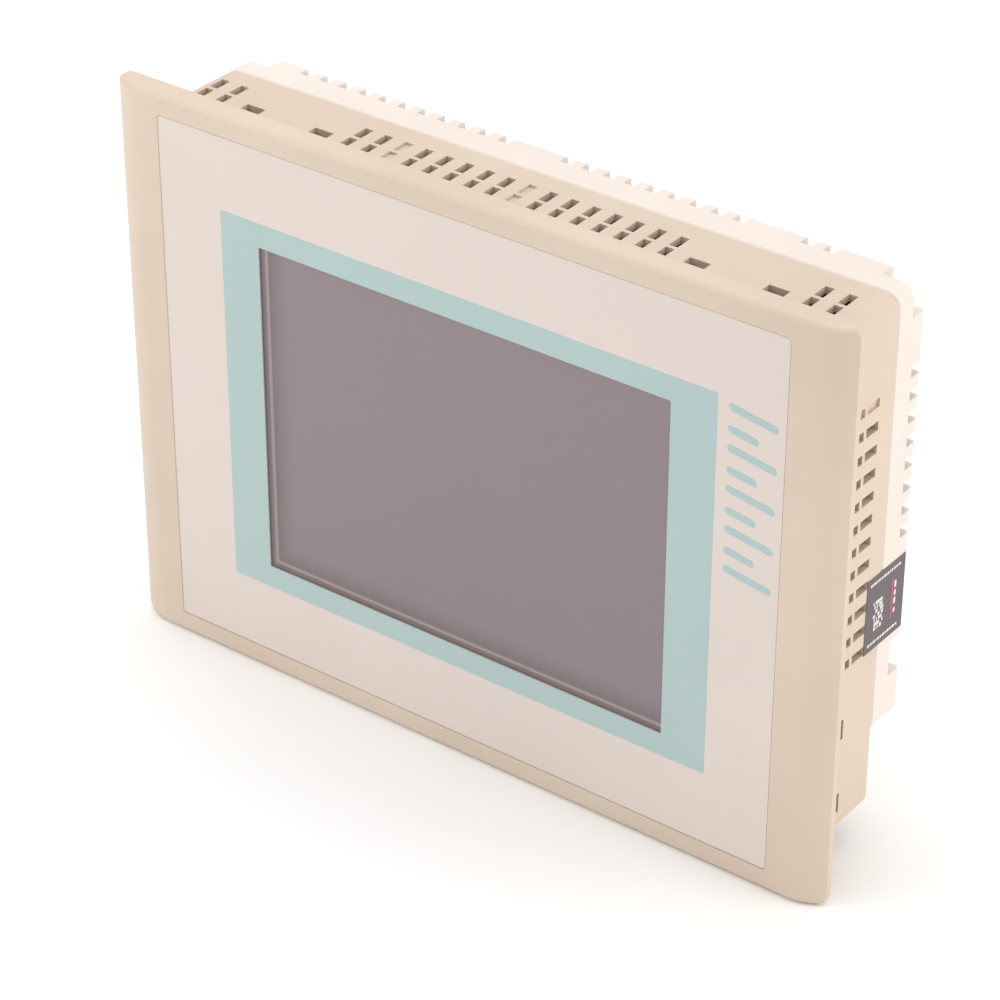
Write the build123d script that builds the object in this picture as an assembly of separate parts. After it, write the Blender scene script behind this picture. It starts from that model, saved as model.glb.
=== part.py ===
from build123d import *
import os

# Panel-mounted operator panel with a 5.7-inch touch display, in millimetres.
# Frame: X to the right seen from the front, Y into the cabinet, Z up.
# Origin: centre of the panel cut-out, on the sealing face behind the front bezel.

# front bezel
FRONT_W = 212.0
FRONT_H = 156.0
BEZEL_T = 6.0
BEZEL_CORNER_R = 3.0
BEZEL_SWEEP_W = 9.0
BEZEL_SWEEP_D = 3.8
BEZEL_EDGE_R = 2.2
BEZEL_BACK_R = 0.6
RIM_R = 0.35
FOIL_W = 181.6
FOIL_H = 143.8
FOIL_T = 0.35
FOIL_CORNER_R = 0.9
FOIL_RECESS = 0.55
FOIL_GAP = 0.06
FOIL_LOW_GAP = 0.22
WINDOW_W = 120.4
WINDOW_H = 91.4

# housing tub behind the bezel
BODY_W = 195.6
BODY_H = 140.4
BODY_R = 4.0
WALL = 2.0
SEAM_Y = 27.7
REAR_Y = 38.9
SEAM_GAP = 0.15
SEAM_EDGE = 0.35
COVER_EDGE_R = 0.8
LEDGE_BACK_Y = -1.2

# connector bay: the rear lower corner of the body is stepped away
STEP_Z = -49.0
BAY_Y = 19.9
BAY_HALF_W = 88.0
CHEEK_BACK_T = 2.0

# ventilation slots in the tub
SLOT_PITCH = 6.12
SLOT_W = 2.4
SLOT_ROWS = [(4.6, 9.6), (10.6, 15.5), (16.6, 21.6)]
SIDE_PAIR_X = [-92.5, 83.4]
MAIN_FIRST_X = -47.3
MAIN_COUNT = 16
MAIN_BLIND = [2, 8]
SIDE_FIRST_Z = 46.0
SIDE_COUNT = 12
SIDE_BLIND = [0]
BLIND_DEPTH = 0.7

# square sockets for the mounting clamps
CLAMP_W = 5.6
CLAMP_Y = (9.6, 14.6)
CLAMP_TOP_X = [-76.8, -55.5, 53.4, 74.6]
CLAMP_SIDE_Z = [-39.6, -61.0]

# castellated rear cover
CREST_SLOT_W = 3.1
CREST_PITCH = 6.125
CREST_FIRST_X = -79.1
CREST_OPEN = list(range(11)) + list(range(13, 22)) + [24, 25]
CREST_FRONT_Y = 35.5
CREST_DOWN = 9.5
FLANK_SLOT_H = 2.9
FLANK_FIRST_Z = 47.3
FLANK_COUNT = 8
FLANK_IN = 7.0
PAD_Y = 33.8
PAD_EDGE_X = 89.1
PAD_TOP_Z = 61.9
PAD_LOW_Z = (-35.3, -25.4)
COVER_SCREW_X = 93.4
COVER_SCREW_Z = [66.0, -30.35]

# touch screen
TOUCH_W = 131.0
TOUCH_H = 102.0
TOUCH_FILM_T = 0.25
TOUCH_GLASS_T = 1.8
TOUCH_FRONT_Y = -BEZEL_T + FOIL_RECESS
TOUCH_GAP = 0.3

# display module
LCD_W = 144.0
LCD_H = 104.6
LCD_OPEN_W = 118.8
LCD_OPEN_H = 89.6
LCD_FRONT_Y = -0.7
LCD_BACK_Y = 8.8
LCD_SKIN = 0.5

# carrier plate and main board
PLATE_W = 180.0
PLATE_H = 126.0
PLATE_Y = 9.6
PLATE_T = 1.2
POST_XZ = [(-86.0, 57.0), (0.0, 60.0), (86.0, 57.0), (-86.0, -57.0), (0.0, -60.0), (86.0, -57.0)]
POST_R = 3.2
BOARD_HALF_W = 87.0
BOARD_Z = (-46.4, 62.0)
BOARD_Y = 20.4
BOARD_T = 1.6
BOARD_BACK_Y = BOARD_Y + BOARD_T
BOARD_FIX_XZ = [(-80.0, 53.0), (0.0, 53.0), (80.0, 53.0), (-80.0, -20.0), (0.0, -20.0), (80.0, -20.0)]

# connectors in the bay, mouths facing down
EARTH_X = -81.0
EARTH_Y = 29.0
EARTH_STEP_Z = STEP_Z - 2.6
POWER_X = -60.0
SERIAL_X = -26.0
SERIAL_Y = 28.8
SERIAL_LOCK_PITCH = 25.0
NETWORK_X = 14.0
USB_X = 34.0
MOUTH_Z = STEP_Z + 0.3
CUT_GAP = 0.4

# mode switch behind its window in the rear cover
DIP_X = 58.0
DIP_Z = -28.0
DIP_COUNT = 4
DIP_PITCH = 2.54
DIP_W = 11.6
DIP_H = 9.9
DIP_SEAT_Y = 29.0
DIP_TOP_Y = 34.2
DIP_TRAVEL = 1.8
SLIDER_W = 1.3
SLIDER_H = 1.8

# fasteners
M3_HEAD_R = 2.8
M3_HEAD_T = 1.9
M3_SHANK_R = 1.45
M3_HOLE_R = 1.6

os.makedirs("parts", exist_ok=True)


def block(x0, x1, y0, y1, z0, z1):
    """Box between two corners."""
    box = Box(abs(x1 - x0), abs(y1 - y0), abs(z1 - z0))
    return Pos((x0 + x1) / 2, (y0 + y1) / 2, (z0 + z1) / 2) * box


def slab(width, height, y0, y1, radius, centre_z=0.0):
    """Upright rounded rectangle, carried from y0 to y1."""
    part = block(-width / 2, width / 2, y0, y1, centre_z - height / 2, centre_z + height / 2)
    return fillet(part.edges().filter_by(Axis.Y), radius)


def rod_y(x, z, y0, y1, radius):
    """Cylinder along Y."""
    return Pos(x, (y0 + y1) / 2, z) * (Rot(90, 0, 0) * Cylinder(radius, abs(y1 - y0)))


def rod_z(x, y, z0, z1, radius):
    """Cylinder along Z."""
    return Pos(x, y, (z0 + z1) / 2) * Cylinder(radius, abs(z1 - z0))


def hex_y(x, z, y0, y1, across):
    """Hexagonal prism along Y."""
    prism = extrude(RegularPolygon(across / 2, 6, major_radius=False), abs(y1 - y0))
    return Pos(x, max(y0, y1), z) * (Rot(90, 0, 0) * prism)


def hex_z(x, y, z0, z1, across):
    """Hexagonal prism along Z."""
    prism = extrude(RegularPolygon(across / 2, 6, major_radius=False), abs(z1 - z0))
    return Pos(x, y, min(z0, z1)) * prism


def save(name, shape):
    """Write one node; a list of solids becomes one group."""
    if isinstance(shape, list):
        shape = Compound(children=shape)
    export_step(shape, "parts/" + name + ".step")
    print(name, round(shape.volume, 1))


# ---- housing ---------------------------------------------------------------

def side_cut(sign, y0, y1, z0, z1, depth):
    """Box that enters one flank of the tub from outside."""
    half = BODY_W / 2
    return block(sign * (half + 1), sign * (half - depth), y0, y1, z0, z1)


def vent_cuts():
    """Slots in the roof, floor and flanks of the tub."""
    cuts = []
    half_h = BODY_H / 2
    columns = []
    for first in SIDE_PAIR_X:
        columns += [(first, False), (first + SLOT_PITCH, False)]
    for index in range(MAIN_COUNT):
        columns.append((MAIN_FIRST_X + index * SLOT_PITCH, index in MAIN_BLIND))
    for x, blind in columns:
        depth = BLIND_DEPTH if blind else WALL + 1
        for y0, y1 in SLOT_ROWS:
            cuts.append(block(x - SLOT_W / 2, x + SLOT_W / 2, y0, y1, half_h - depth, half_h + 1))
        for y0, y1 in SLOT_ROWS[:2]:
            cuts.append(block(x - SLOT_W / 2, x + SLOT_W / 2, y0, y1, -half_h - 1, -half_h + depth))
    for index in range(SIDE_COUNT):
        z = SIDE_FIRST_Z - index * SLOT_PITCH
        depth = BLIND_DEPTH if index in SIDE_BLIND else WALL + 1
        for y0, y1 in SLOT_ROWS:
            for sign in (-1, 1):
                cuts.append(side_cut(sign, y0, y1, z - SLOT_W / 2, z + SLOT_W / 2, depth))
    return cuts


def clamp_cuts():
    """Square sockets that the mounting clamps hook into."""
    cuts = []
    half_h = BODY_H / 2
    for x in CLAMP_TOP_X:
        for sign in (-1, 1):
            inner = sign * (half_h - WALL - 1)
            cuts.append(block(x - CLAMP_W / 2, x + CLAMP_W / 2, *CLAMP_Y, inner, sign * (half_h + 1)))
    for z in CLAMP_SIDE_Z:
        for sign in (-1, 1):
            cuts.append(side_cut(sign, *CLAMP_Y, z - CLAMP_W / 2, z + CLAMP_W / 2, WALL + 1))
    return cuts


def port_cuts():
    """Openings for the connectors through the step's ceiling, shared by housing and cover."""
    z0 = STEP_Z - 1
    z1 = STEP_Z + WALL + 0.5
    cuts = [
        block(POWER_X - 6.1 - CUT_GAP, POWER_X + 6.1 + CUT_GAP, BOARD_BACK_Y - CUT_GAP, 30.6 + CUT_GAP, z0, z1),
        block(SERIAL_X - 8.6, SERIAL_X + 8.6, SERIAL_Y - 4.4, SERIAL_Y + 4.4, z0, z1),
        block(NETWORK_X - 8.0 - CUT_GAP, NETWORK_X + 8.0 + CUT_GAP, BOARD_BACK_Y, 35.6 + CUT_GAP, z0, z1),
        block(USB_X - 2.9 - CUT_GAP, USB_X + 2.9 + CUT_GAP, BOARD_BACK_Y, 35.4 + CUT_GAP, z0, z1),
        rod_z(EARTH_X, EARTH_Y, z0, z1, 5.4),
    ]
    for sign in (-1, 1):
        cuts.append(rod_z(SERIAL_X + sign * SERIAL_LOCK_PITCH / 2, SERIAL_Y, z0, z1, 1.9))
    return cuts


def edges_at(shape, y):
    """Edges that lie wholly in the plane at y."""
    return [edge for edge in shape.edges() if abs(edge.bounding_box().min.Y - y) < 0.01
            and abs(edge.bounding_box().max.Y - y) < 0.01]


def bezel_plate():
    """Front plate: side bars swept back on a broad arc, small rounding along top and bottom."""
    half_h = FRONT_H / 2
    plate = block(-FRONT_W / 2, FRONT_W / 2, -BEZEL_T, 0, -half_h, half_h)
    sweep_r = (BEZEL_SWEEP_W ** 2 + BEZEL_SWEEP_D ** 2) / (2 * BEZEL_SWEEP_D)
    edge_y = BEZEL_SWEEP_D - BEZEL_T
    for sign in (-1, 1):
        x = sign * (FRONT_W / 2 - BEZEL_SWEEP_W)
        waste = block(x, sign * (FRONT_W / 2 + 1), -BEZEL_T - 1, edge_y, -half_h - 1, half_h + 1)
        plate -= waste - rod_z(x, sweep_r - BEZEL_T, -half_h - 2, half_h + 2, sweep_r)
    front_edges = [edge for edge in plate.edges() if abs(abs(edge.center().Z) - half_h) < 0.01]
    front_edges = [edge for edge in front_edges if edge.center().Y < edge_y - 0.5]
    plate = fillet(front_edges, BEZEL_EDGE_R)
    plate = plate & slab(FRONT_W, FRONT_H, -BEZEL_T - 1, 1, BEZEL_CORNER_R)
    plate = fillet(edges_at(plate, 0), BEZEL_BACK_R)
    recess = slab(FOIL_W + 2 * FOIL_GAP, FOIL_H + 2 * FOIL_GAP, -BEZEL_T - 1, TOUCH_FRONT_Y, FOIL_CORNER_R)
    plate -= recess
    rim = [edge for edge in edges_at(plate, -BEZEL_T) if abs(edge.center().X) < FOIL_W / 2 + 1]
    rim = [edge for edge in rim if abs(edge.center().Z) < FOIL_H / 2 + 1]
    return fillet(rim, RIM_R)


def seal_groove():
    """Groove behind the bezel for the panel seal."""
    outer = slab(BODY_W + 9.4, BODY_H + 9.4, -1.4, 0.1, 6.0)
    inner = slab(BODY_W + 3.0, BODY_H + 3.0, -1.5, 0.2, 4.5)
    return outer - inner


def front_housing():
    half_w = BODY_W / 2
    half_h = BODY_H / 2
    tub = slab(BODY_W, BODY_H, -BEZEL_T / 4, SEAM_Y, BODY_R)
    tub = chamfer(edges_at(tub, SEAM_Y), SEAM_EDGE)
    body = bezel_plate() + tub
    # the tub's cavities, the bay, and the hollow cheeks beside the bay
    body -= slab(BODY_W - 2 * WALL, BODY_H - 2 * WALL, LEDGE_BACK_Y, BAY_Y - WALL, 2.0)
    upper_h = half_h - WALL - (STEP_Z + WALL)
    upper_mid = (half_h - WALL + STEP_Z + WALL) / 2
    body -= slab(BODY_W - 2 * WALL, upper_h, BAY_Y - WALL - 0.5, SEAM_Y + 1, 2.0, upper_mid)
    body -= block(-BAY_HALF_W, BAY_HALF_W, BAY_Y, SEAM_Y + 1, -half_h - 1, STEP_Z)
    for sign in (-1, 1):
        body -= block(sign * (BAY_HALF_W + WALL), sign * (half_w - WALL), BAY_Y - WALL - 0.5,
                      SEAM_Y - CHEEK_BACK_T, -half_h + WALL, STEP_Z + WALL + 0.5)
    # touch pocket, window and the slot for the touch screen's tail
    touch_back = TOUCH_FRONT_Y + TOUCH_FILM_T + TOUCH_GLASS_T
    body -= slab(TOUCH_W + 2 * TOUCH_GAP, TOUCH_H + 2 * TOUCH_GAP, -BEZEL_T, touch_back, 1.0)
    body -= slab(WINDOW_W + 1.6, WINDOW_H + 1.6, -BEZEL_T, 1, 1.0)
    body -= block(29, 47, TOUCH_FRONT_Y + 0.6, 1, -56.0, -TOUCH_H / 2)
    body -= seal_groove()
    # posts for the carrier plate and for the cover's screws
    for x, z in POST_XZ:
        body += rod_y(x, z, LEDGE_BACK_Y - 0.5, PLATE_Y, POST_R)
    for x in (-COVER_SCREW_X, COVER_SCREW_X):
        for z in COVER_SCREW_Z:
            body += rod_y(x, z, LEDGE_BACK_Y - 0.5, SEAM_Y, 3.0)
    for x, z in POST_XZ:
        body -= rod_y(x, z, PLATE_Y - 7.0, PLATE_Y + 1, M3_SHANK_R + 0.05)
    for x in (-COVER_SCREW_X, COVER_SCREW_X):
        for z in COVER_SCREW_Z:
            body -= rod_y(x, z, SEAM_Y - 8.0, SEAM_Y + 1, M3_SHANK_R + 0.05)
    cuts = vent_cuts() + clamp_cuts() + port_cuts()
    return body - cuts


# ---- rear cover ------------------------------------------------------------

def pad_pocket(sign, z0, z1, grow):
    """Pocket over a screw pad, or the same box grown by the wall around it."""
    return block(sign * (PAD_EDGE_X - grow), sign * (BODY_W / 2 + 2), PAD_Y - grow, REAR_Y + 1, z0 - grow, z1 + grow)


def crest_cuts():
    """Vent slots that wrap the cover's rear edges."""
    cuts = []
    for index in CREST_OPEN:
        x = CREST_FIRST_X + index * CREST_PITCH
        cuts.append(block(x - CREST_SLOT_W / 2, x + CREST_SLOT_W / 2, CREST_FRONT_Y, REAR_Y + 1,
                          BODY_H / 2 - CREST_DOWN, BODY_H / 2 + 1))
    for index in range(FLANK_COUNT):
        z = FLANK_FIRST_Z - index * SLOT_PITCH
        for sign in (-1, 1):
            cuts.append(block(sign * (BODY_W / 2 - FLANK_IN), sign * (BODY_W / 2 + 1), CREST_FRONT_Y - 0.6,
                              REAR_Y + 1, z - FLANK_SLOT_H / 2, z + FLANK_SLOT_H / 2))
    return cuts


def rear_cover():
    half_w = BODY_W / 2
    half_h = BODY_H / 2
    front_y = SEAM_Y + SEAM_GAP
    height = half_h - STEP_Z
    middle = (half_h + STEP_Z) / 2
    cover = slab(BODY_W, height, front_y, REAR_Y, BODY_R, middle)
    cover = fillet(edges_at(cover, REAR_Y), COVER_EDGE_R)
    cover = chamfer(edges_at(cover, front_y), SEAM_EDGE)
    cavity = slab(BODY_W - 2 * WALL, height - 2 * WALL, front_y - 1, REAR_Y - WALL, 2.0, middle)
    pads = [(PAD_TOP_Z, half_h + 2), PAD_LOW_Z]
    for sign in (-1, 1):
        for z0, z1 in pads:
            cavity -= pad_pocket(sign, z0, z1, WALL)
    cover -= cavity
    for x in (-COVER_SCREW_X, COVER_SCREW_X):
        for z in COVER_SCREW_Z:
            cover += rod_y(x, z, front_y, PAD_Y - WALL / 2, 3.0)
    for sign in (-1, 1):
        for z0, z1 in pads:
            cover -= pad_pocket(sign, z0, z1, 0)
    for x in (-COVER_SCREW_X, COVER_SCREW_X):
        for z in COVER_SCREW_Z:
            cover -= rod_y(x, z, front_y - 1, PAD_Y + 1, M3_HOLE_R)
    # window and collar of the mode switch
    window_w = DIP_W + 1.2
    window_h = DIP_H + 1.2
    collar = block(DIP_X - window_w / 2 - 1.2, DIP_X + window_w / 2 + 1.2, DIP_TOP_Y - 1.5, REAR_Y - 1,
                   DIP_Z - window_h / 2 - 1.2, DIP_Z + window_h / 2 + 1.2)
    cover += collar
    cover -= block(DIP_X - window_w / 2, DIP_X + window_w / 2, front_y, REAR_Y + 1,
                   DIP_Z - window_h / 2, DIP_Z + window_h / 2)
    # shallow seats for the rating plate and the side label
    cover -= block(-64.6, 12.6, REAR_Y - 0.4, REAR_Y + 1, -20.6, 24.6)
    return cover - crest_cuts() - port_cuts()


def cover_screws():
    screws = []
    for x in (-COVER_SCREW_X, COVER_SCREW_X):
        for z in COVER_SCREW_Z:
            screws.append(pan_screw(x, z, PAD_Y, SEAM_Y - 5.5))
    return screws


def pan_screw(x, z, seat_y, tip_y):
    """Cross-recessed screw along Y, its head behind seat_y."""
    head = rod_y(x, z, seat_y, seat_y + M3_HEAD_T, M3_HEAD_R)
    head = fillet(head.edges().sort_by(Axis.Y)[-1], 0.7)
    cross = block(x - 1.6, x + 1.6, seat_y + 0.9, seat_y + 3, z - 0.3, z + 0.3)
    cross += block(x - 0.3, x + 0.3, seat_y + 0.9, seat_y + 3, z - 1.6, z + 1.6)
    return head - cross + rod_y(x, z, tip_y, seat_y, M3_SHANK_R)


# ---- front layers ----------------------------------------------------------

def front_foil():
    back = TOUCH_FRONT_Y
    foil = slab(FOIL_W, FOIL_H - FOIL_LOW_GAP, back - FOIL_T, back, FOIL_CORNER_R - FOIL_GAP, FOIL_LOW_GAP / 2)
    return foil - slab(WINDOW_W, WINDOW_H, back - 1, back + 1, 0.4)


def touch_screen():
    film_back = TOUCH_FRONT_Y + TOUCH_FILM_T
    film = slab(TOUCH_W, TOUCH_H, TOUCH_FRONT_Y, film_back, 0.8)
    glass = slab(TOUCH_W, TOUCH_H, film_back, film_back + TOUCH_GLASS_T, 0.8)
    return film, glass


def touch_tail():
    """Printed tail from the touch glass round under the display to the main board."""
    y0 = TOUCH_FRONT_Y + 1.2
    low = -54.6
    path = FilletPolyline((38, y0, -51.0), (38, y0, low), (38, 14.6, low), (38, 14.6, -39.0), radius=1.5)
    section = Plane(path @ 0, x_dir=(1, 0, 0), z_dir=path % 0)
    return sweep(section * Rectangle(14, 0.3), path)


def panel_seal():
    outer = slab(BODY_W + 9.0, BODY_H + 9.0, -1.4, 0.8, 5.8)
    inner = slab(BODY_W + 3.4, BODY_H + 3.4, -1.5, 0.9, 4.7)
    return outer - inner


# ---- display module --------------------------------------------------------

def display_seal():
    front = LEDGE_BACK_Y
    seal = slab(LCD_W - 6, LCD_H - 6, front, LCD_FRONT_Y, 1.0)
    return seal - slab(WINDOW_W + 4, WINDOW_H + 2.4, front - 1, LCD_FRONT_Y + 1, 1.0)


def lcd_frame():
    """Folded metal frame that holds the module together."""
    frame = slab(LCD_W, LCD_H, LCD_FRONT_Y, LCD_BACK_Y - 1.5, 1.2)
    frame -= slab(LCD_W - 2 * LCD_SKIN, LCD_H - 2 * LCD_SKIN, LCD_FRONT_Y + LCD_SKIN, LCD_BACK_Y, 0.8)
    frame -= slab(LCD_OPEN_W, LCD_OPEN_H, LCD_FRONT_Y - 1, LCD_BACK_Y, 0.6)
    frame -= block(LCD_W / 2 - 1, LCD_W / 2 + 1, 4.0, 6.4, -11, 11)
    return frame - block(-LCD_W / 2 - 1, -LCD_W / 2 + 1, 2.6, 5.4, 44, 48)


def lcd_layers():
    """Cell, diffuser and light guide, one behind the other."""
    y = LCD_FRONT_Y + LCD_SKIN
    cell = slab(127.0, 98.0, y, y + 1.9, 0.6)
    diffuser = slab(125.0, 96.0, y + 2.1, y + 2.5, 0.6)
    guide = slab(124.0, 88.0, y + 2.7, y + 6.0, 0.6, -3.0)
    return cell, diffuser, guide


def backlight():
    """Lamp tube along the top edge, in its reflector channel."""
    y = LCD_FRONT_Y + LCD_SKIN + 4.4
    z = 44.6
    lamp = Pos(0, y, z) * (Rot(0, 90, 0) * Cylinder(1.2, 122.0))
    channel = block(-62, 62, y - 1.8, y + 1.8, z - 2.2, z + 2.2)
    channel -= block(-63, 63, y - 1.5, y + 1.5, z - 3, z + 1.9)
    return lamp, channel


def lcd_tray():
    tray = slab(LCD_W - 1.4, LCD_H - 1.4, 3.0, LCD_BACK_Y, 0.8)
    tray -= slab(130.0, 99.0, 2.0, LCD_BACK_Y - 1.6, 0.6)
    tray -= block(64, LCD_W / 2, 4.0, 6.4, -11, 11)
    return tray - block(-LCD_W / 2, -64, 2.6, 5.4, 44, 48)


def display_cable():
    """Flat cable from the display's side edge to the main board."""
    path = FilletPolyline((66.0, 5.2, 0), (78.0, 5.2, 0), (78.0, 16.4, 0), radius=2.5)
    section = Plane(path @ 0, x_dir=(0, 0, 1), z_dir=path % 0)
    return sweep(section * Rectangle(20, 0.4), path)


def lamp_lead():
    path = FilletPolyline((-66.0, 4.0, 46.0), (-78.0, 4.0, 46.0), (-78.0, 16.0, 46.0), (-70.5, 16.0, 46.0), radius=2.6)
    section = Plane(path @ 0, z_dir=path % 0)
    return sweep(section * Circle(0.8), path)


# ---- carrier plate and boards ----------------------------------------------

def carrier_plate():
    plate = slab(PLATE_W, PLATE_H, PLATE_Y, PLATE_Y + PLATE_T, 3.0)
    for x, z in POST_XZ:
        plate -= rod_y(x, z, PLATE_Y - 1, PLATE_Y + 3, M3_HOLE_R)
    plate -= block(76.0, 80.0, PLATE_Y - 1, PLATE_Y + 3, -12, 12)
    plate -= block(-80.5, -75.5, PLATE_Y - 1, PLATE_Y + 3, 43, 49)
    plate -= block(30, 46, PLATE_Y - 1, PLATE_Y + 3, -PLATE_H / 2 - 1, -52.5)
    for index in range(7):
        x = -45 + 15 * index
        plate -= rod_y(x, 0, PLATE_Y - 1, PLATE_Y + 3, 4.0)
    return plate


def plate_screws():
    return [pan_screw(x, z, PLATE_Y + PLATE_T, PLATE_Y - 5.0) for x, z in POST_XZ]


def standoffs():
    pieces = []
    for x, z in BOARD_FIX_XZ:
        post = hex_y(x, z, PLATE_Y + PLATE_T, BOARD_Y, 5.5)
        pieces.append(post - rod_y(x, z, BOARD_Y - 6, BOARD_Y + 1, M3_SHANK_R + 0.05))
    return pieces


def main_board():
    board = block(-BOARD_HALF_W, BOARD_HALF_W, BOARD_Y, BOARD_BACK_Y, *BOARD_Z)
    board = fillet(board.edges().filter_by(Axis.Y), 2.0)
    for x, z in BOARD_FIX_XZ:
        board -= rod_y(x, z, BOARD_Y - 1, BOARD_BACK_Y + 1, M3_HOLE_R)
    return board


def board_screws():
    return [pan_screw(x, z, BOARD_BACK_Y, BOARD_Y - 4.5) for x, z in BOARD_FIX_XZ]


def on_board(x, z, width, height, thick):
    """Component lying on the rear side of the main board."""
    return block(x - width / 2, x + width / 2, BOARD_BACK_Y, BOARD_BACK_Y + thick, z - height / 2, z + height / 2)


def memory_chips():
    return [on_board(x, z, 18.4, 10.2, 1.2) for x in (-34, -12) for z in (34, 20)]


def logic_chips():
    places = [(40, 8, 14, 14), (58, 8, 10, 10), (8, -12, 12, 12), (-26, -14, 10, 6), (-40, -14, 10, 6), (62, 30, 18, 12)]
    return [on_board(x, z, w, h, 1.5) for x, z, w, h in places]


def capacitors():
    pieces = []
    for x, z in [(-76, -2), (-76, 10), (-64, -2), (-64, 10)]:
        can = rod_y(x, z, BOARD_BACK_Y, BOARD_BACK_Y + 10.0, 4.0)
        pieces.append(fillet(can.edges().sort_by(Axis.Y)[-1], 0.6))
    return pieces


def small_components():
    """Rows of resistors and ceramic capacitors."""
    pieces = []
    for row in range(4):
        for column in range(9):
            pieces.append(on_board(-46 + 4.4 * column, 50 - 2.6 * row, 3.2, 1.6, 0.7))
    return pieces


def power_coil():
    coil = on_board(-58, 30, 12.5, 12.5, 7.5)
    return fillet(coil.edges().filter_by(Axis.Y), 2.5)


def inverter_board():
    return block(-74, -58, PLATE_Y + PLATE_T + 2.0, PLATE_Y + PLATE_T + 3.2, -40, 50)


def inverter_feet():
    y0 = PLATE_Y + PLATE_T
    return [rod_y(-66, z, y0, y0 + 2.0, 2.5) for z in (-35, 36)]


def inverter_parts():
    y0 = PLATE_Y + PLATE_T + 3.2
    transformer = block(-73, -59, y0, y0 + 5.6, -6, 22)
    plug = block(-70.5, -65.5, y0, y0 + 4.2, 43.2, 48.8)
    return transformer, plug


# ---- connectors in the bay -------------------------------------------------

def power_header():
    """Two-pole socket of the pluggable supply terminal."""
    body = block(POWER_X - 6.1, POWER_X + 6.1, BOARD_BACK_Y, 30.6, MOUTH_Z, MOUTH_Z + 12.0)
    body -= block(POWER_X - 5.1, POWER_X + 5.1, BOARD_BACK_Y + 1.1, 29.5, MOUTH_Z - 1, MOUTH_Z + 9.0)
    middle = (BOARD_BACK_Y + 30.6) / 2
    pins = []
    for sign in (-1, 1):
        x = POWER_X + sign * 2.54
        body -= block(x - 0.5, x + 0.5, middle - 0.5, middle + 0.5, MOUTH_Z + 8, MOUTH_Z + 13)
        pins.append(block(x - 0.5, x + 0.5, middle - 0.5, middle + 0.5, MOUTH_Z + 4.6, MOUTH_Z + 12.5))
    return body, pins


def d_outline(grow):
    """D-shaped outline, wide side towards the rear."""
    wide = 8.3 + grow
    narrow = 6.9 + grow
    half = 3.95 + grow
    points = [(-narrow, -half), (narrow, -half), (wide, half), (-wide, half)]
    face = make_face(Polyline(*points, close=True))
    return fillet(face.vertices(), 2.2 + grow)


def serial_port():
    """Nine-way socket: metal shell, its flange, insulator and two lock nuts."""
    flange_z = STEP_Z + WALL + 0.1
    tip_z = STEP_Z - 3.6
    place = Pos(SERIAL_X, SERIAL_Y, tip_z)
    hollow = place * Pos(0, 0, -1) * extrude(d_outline(-0.4), flange_z - tip_z + 3)
    shell = place * extrude(d_outline(0), flange_z - tip_z) - hollow
    flange = block(SERIAL_X - 15.4, SERIAL_X + 15.4, SERIAL_Y - 6.25, SERIAL_Y + 6.25, flange_z, flange_z + 0.8)
    flange -= hollow
    insert = place * Pos(0, 0, 0.3) * extrude(d_outline(-0.42), flange_z - tip_z + 0.6)
    insert += block(SERIAL_X - 9.6, SERIAL_X + 9.6, BOARD_BACK_Y, SERIAL_Y + 5.0, flange_z + 0.8, flange_z + 9.0)
    for column in range(5):
        insert -= rod_z(SERIAL_X + (column - 2) * 2.77, SERIAL_Y + 1.42, tip_z, tip_z + 7, 0.55)
    for column in range(4):
        insert -= rod_z(SERIAL_X + (column - 1.5) * 2.77, SERIAL_Y - 1.42, tip_z, tip_z + 7, 0.55)
    locks = []
    for sign in (-1, 1):
        x = SERIAL_X + sign * SERIAL_LOCK_PITCH / 2
        flange -= rod_z(x, SERIAL_Y, flange_z - 1, flange_z + 2, 1.7)
        lock = hex_z(x, SERIAL_Y, STEP_Z - 5.0, STEP_Z, 4.8) + rod_z(x, SERIAL_Y, STEP_Z, flange_z + 3.0, 1.6)
        locks.append(lock - rod_z(x, SERIAL_Y, STEP_Z - 6, STEP_Z, 1.42))
    return shell, flange, insert, locks


def network_jack():
    """Eight-way jack, latch side towards the rear."""
    y0 = BOARD_BACK_Y + 0.3
    y1 = y0 + 13.2
    body = block(NETWORK_X - 8, NETWORK_X + 8, y0, y1, MOUTH_Z, MOUTH_Z + 15.5)
    body -= block(NETWORK_X - 5.95, NETWORK_X + 5.95, y0 + 1.8, y0 + 8.6, MOUTH_Z - 1, MOUTH_Z + 13.0)
    body -= block(NETWORK_X - 3.2, NETWORK_X + 3.2, y0 + 8.6, y0 + 11.2, MOUTH_Z - 1, MOUTH_Z + 8.0)
    contacts = []
    for index in range(8):
        x = NETWORK_X + (index - 3.5) * 1.02
        contacts.append(block(x - 0.2, x + 0.2, y0 + 1.8, y0 + 2.6, MOUTH_Z + 3.0, MOUTH_Z + 13.0))
    return body, contacts


def usb_port():
    """Upright type A socket: folded shell and contact tongue."""
    y0 = BOARD_BACK_Y + 0.2
    y1 = y0 + 13.1
    shell = block(USB_X - 2.85, USB_X + 2.85, y0, y1, MOUTH_Z, MOUTH_Z + 14.0)
    shell -= block(USB_X - 2.5, USB_X + 2.5, y0 + 0.35, y1 - 0.35, MOUTH_Z - 1, MOUTH_Z + 13.6)
    tongue = block(USB_X - 2.0, USB_X - 0.2, y0 + 0.9, y1 - 0.9, MOUTH_Z + 1.0, MOUTH_Z + 12.0)
    tongue += block(USB_X - 2.45, USB_X + 2.45, y0 + 0.4, y1 - 0.4, MOUTH_Z + 12.0, MOUTH_Z + 13.55)
    return shell, tongue


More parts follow.
